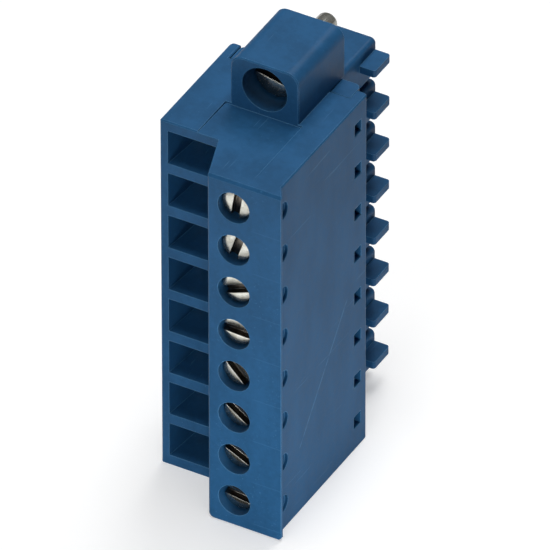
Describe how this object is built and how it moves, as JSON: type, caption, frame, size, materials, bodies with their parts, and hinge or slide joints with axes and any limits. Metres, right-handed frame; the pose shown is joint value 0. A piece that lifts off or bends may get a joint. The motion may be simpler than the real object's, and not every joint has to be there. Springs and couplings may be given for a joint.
{
  "type": "pluggable terminal block",
  "caption": "Pluggable screw terminal block with wire funnels and clamp screws in front, contact towers with coding ribs behind, and a captive screw in a flange at one end.",
  "frame": {"origin": "centre of the bottom of the bounding box, on the lower end face", "axes": "+X from the wire side to the screw side, +Y from the front with its wires and screws to the plug side, +Z along the row of poles towards the flange"},
  "size_m": [0.0122, 0.0208, 0.0356],
  "materials": {
    "blue_plastic": "satin moulded, blue",
    "screw_steel": "zinc plated, bright",
    "bracket_steel": "zinc plated sheet",
    "tinned_copper": "tin plated"
  },
  "bodies": {
    "block": {"housing": "blue_plastic", "contact_carrier": "blue_plastic", "clamp_bracket_1": "bracket_steel", "clamp_bracket_2": "bracket_steel", "clamp_bracket_3": "bracket_steel", "clamp_bracket_4": "bracket_steel", "clamp_bracket_5": "bracket_steel", "clamp_bracket_6": "bracket_steel", "clamp_bracket_7": "bracket_steel", "clamp_bracket_8": "bracket_steel", "socket_contact_1": "tinned_copper", "socket_contact_2": "tinned_copper", "socket_contact_3": "tinned_copper", "socket_contact_4": "tinned_copper", "socket_contact_5": "tinned_copper", "socket_contact_6": "tinned_copper", "socket_contact_7": "tinned_copper", "socket_contact_8": "tinned_copper"},
    "clamp_screw_1": {"clamp_screw_1": "screw_steel"},
    "pressure_lever_1": {"pressure_lever_1": "bracket_steel"},
    "clamp_screw_2": {"clamp_screw_2": "screw_steel"},
    "pressure_lever_2": {"pressure_lever_2": "bracket_steel"},
    "clamp_screw_3": {"clamp_screw_3": "screw_steel"},
    "pressure_lever_3": {"pressure_lever_3": "bracket_steel"},
    "clamp_screw_4": {"clamp_screw_4": "screw_steel"},
    "pressure_lever_4": {"pressure_lever_4": "bracket_steel"},
    "clamp_screw_5": {"clamp_screw_5": "screw_steel"},
    "pressure_lever_5": {"pressure_lever_5": "bracket_steel"},
    "clamp_screw_6": {"clamp_screw_6": "screw_steel"},
    "pressure_lever_6": {"pressure_lever_6": "bracket_steel"},
    "clamp_screw_7": {"clamp_screw_7": "screw_steel"},
    "pressure_lever_7": {"pressure_lever_7": "bracket_steel"},
    "clamp_screw_8": {"clamp_screw_8": "screw_steel"},
    "pressure_lever_8": {"pressure_lever_8": "bracket_steel"},
    "flange_screw": {"flange_screw": "screw_steel"}
  },
  "joints": [
    {"name": "clamp_screw_turn_1", "type": "hinge", "parent": "block", "child": "clamp_screw_1", "pos_m": [0.0022, -0.00992, 0.02898], "axis": [0, 1, 0], "range_deg": [0, 1620]},
    {"name": "pressure_lever_swing_1", "type": "hinge", "parent": "block", "child": "pressure_lever_1", "pos_m": [-0.0008, -0.00213, 0.02898], "axis": [0, 0, 1], "range_deg": [0, 38.8]},
    {"name": "clamp_screw_turn_2", "type": "hinge", "parent": "block", "child": "clamp_screw_2", "pos_m": [0.0022, -0.00992, 0.02516], "axis": [0, 1, 0], "range_deg": [0, 1620]},
    {"name": "pressure_lever_swing_2", "type": "hinge", "parent": "block", "child": "pressure_lever_2", "pos_m": [-0.0008, -0.00213, 0.02516], "axis": [0, 0, 1], "range_deg": [0, 38.8]},
    {"name": "clamp_screw_turn_3", "type": "hinge", "parent": "block", "child": "clamp_screw_3", "pos_m": [0.0022, -0.00992, 0.02135], "axis": [0, 1, 0], "range_deg": [0, 1620]},
    {"name": "pressure_lever_swing_3", "type": "hinge", "parent": "block", "child": "pressure_lever_3", "pos_m": [-0.0008, -0.00213, 0.02135], "axis": [0, 0, 1], "range_deg": [0, 38.8]},
    {"name": "clamp_screw_turn_4", "type": "hinge", "parent": "block", "child": "clamp_screw_4", "pos_m": [0.0022, -0.00992, 0.01755], "axis": [0, 1, 0], "range_deg": [0, 1620]},
    {"name": "pressure_lever_swing_4", "type": "hinge", "parent": "block", "child": "pressure_lever_4", "pos_m": [-0.0008, -0.00213, 0.01755], "axis": [0, 0, 1], "range_deg": [0, 38.8]},
    {"name": "clamp_screw_turn_5", "type": "hinge", "parent": "block", "child": "clamp_screw_5", "pos_m": [0.0022, -0.00992, 0.01374], "axis": [0, 1, 0], "range_deg": [0, 1620]},
    {"name": "pressure_lever_swing_5", "type": "hinge", "parent": "block", "child": "pressure_lever_5", "pos_m": [-0.0008, -0.00213, 0.01374], "axis": [0, 0, 1], "range_deg": [0, 38.8]},
    {"name": "clamp_screw_turn_6", "type": "hinge", "parent": "block", "child": "clamp_screw_6", "pos_m": [0.0022, -0.00992, 0.00992], "axis": [0, 1, 0], "range_deg": [0, 1620]},
    {"name": "pressure_lever_swing_6", "type": "hinge", "parent": "block", "child": "pressure_lever_6", "pos_m": [-0.0008, -0.00213, 0.00992], "axis": [0, 0, 1], "range_deg": [0, 38.8]},
    {"name": "clamp_screw_turn_7", "type": "hinge", "parent": "block", "child": "clamp_screw_7", "pos_m": [0.0022, -0.00992, 0.00611], "axis": [0, 1, 0], "range_deg": [0, 1620]},
    {"name": "pressure_lever_swing_7", "type": "hinge", "parent": "block", "child": "pressure_lever_7", "pos_m": [-0.0008, -0.00213, 0.00611], "axis": [0, 0, 1], "range_deg": [0, 38.8]},
    {"name": "clamp_screw_turn_8", "type": "hinge", "parent": "block", "child": "clamp_screw_8", "pos_m": [0.0022, -0.00992, 0.00231], "axis": [0, 1, 0], "range_deg": [0, 1620]},
    {"name": "pressure_lever_swing_8", "type": "hinge", "parent": "block", "child": "pressure_lever_8", "pos_m": [-0.0008, -0.00213, 0.00231], "axis": [0, 0, 1], "range_deg": [0, 38.8]},
    {"name": "flange_screw_turn", "type": "hinge", "parent": "block", "child": "flange_screw", "pos_m": [0.00019, -0.00222, 0.03343], "axis": [0, 1, 0], "continuous": true}
  ],
  "couplings": [
    {"joint": "pressure_lever_swing_1", "follows": "clamp_screw_turn_1", "ratio": 0.023949},
    {"joint": "pressure_lever_swing_2", "follows": "clamp_screw_turn_2", "ratio": 0.023949},
    {"joint": "pressure_lever_swing_3", "follows": "clamp_screw_turn_3", "ratio": 0.023949},
    {"joint": "pressure_lever_swing_4", "follows": "clamp_screw_turn_4", "ratio": 0.023949},
    {"joint": "pressure_lever_swing_5", "follows": "clamp_screw_turn_5", "ratio": 0.023949},
    {"joint": "pressure_lever_swing_6", "follows": "clamp_screw_turn_6", "ratio": 0.023949},
    {"joint": "pressure_lever_swing_7", "follows": "clamp_screw_turn_7", "ratio": 0.023949},
    {"joint": "pressure_lever_swing_8", "follows": "clamp_screw_turn_8", "ratio": 0.023949}
  ]
}
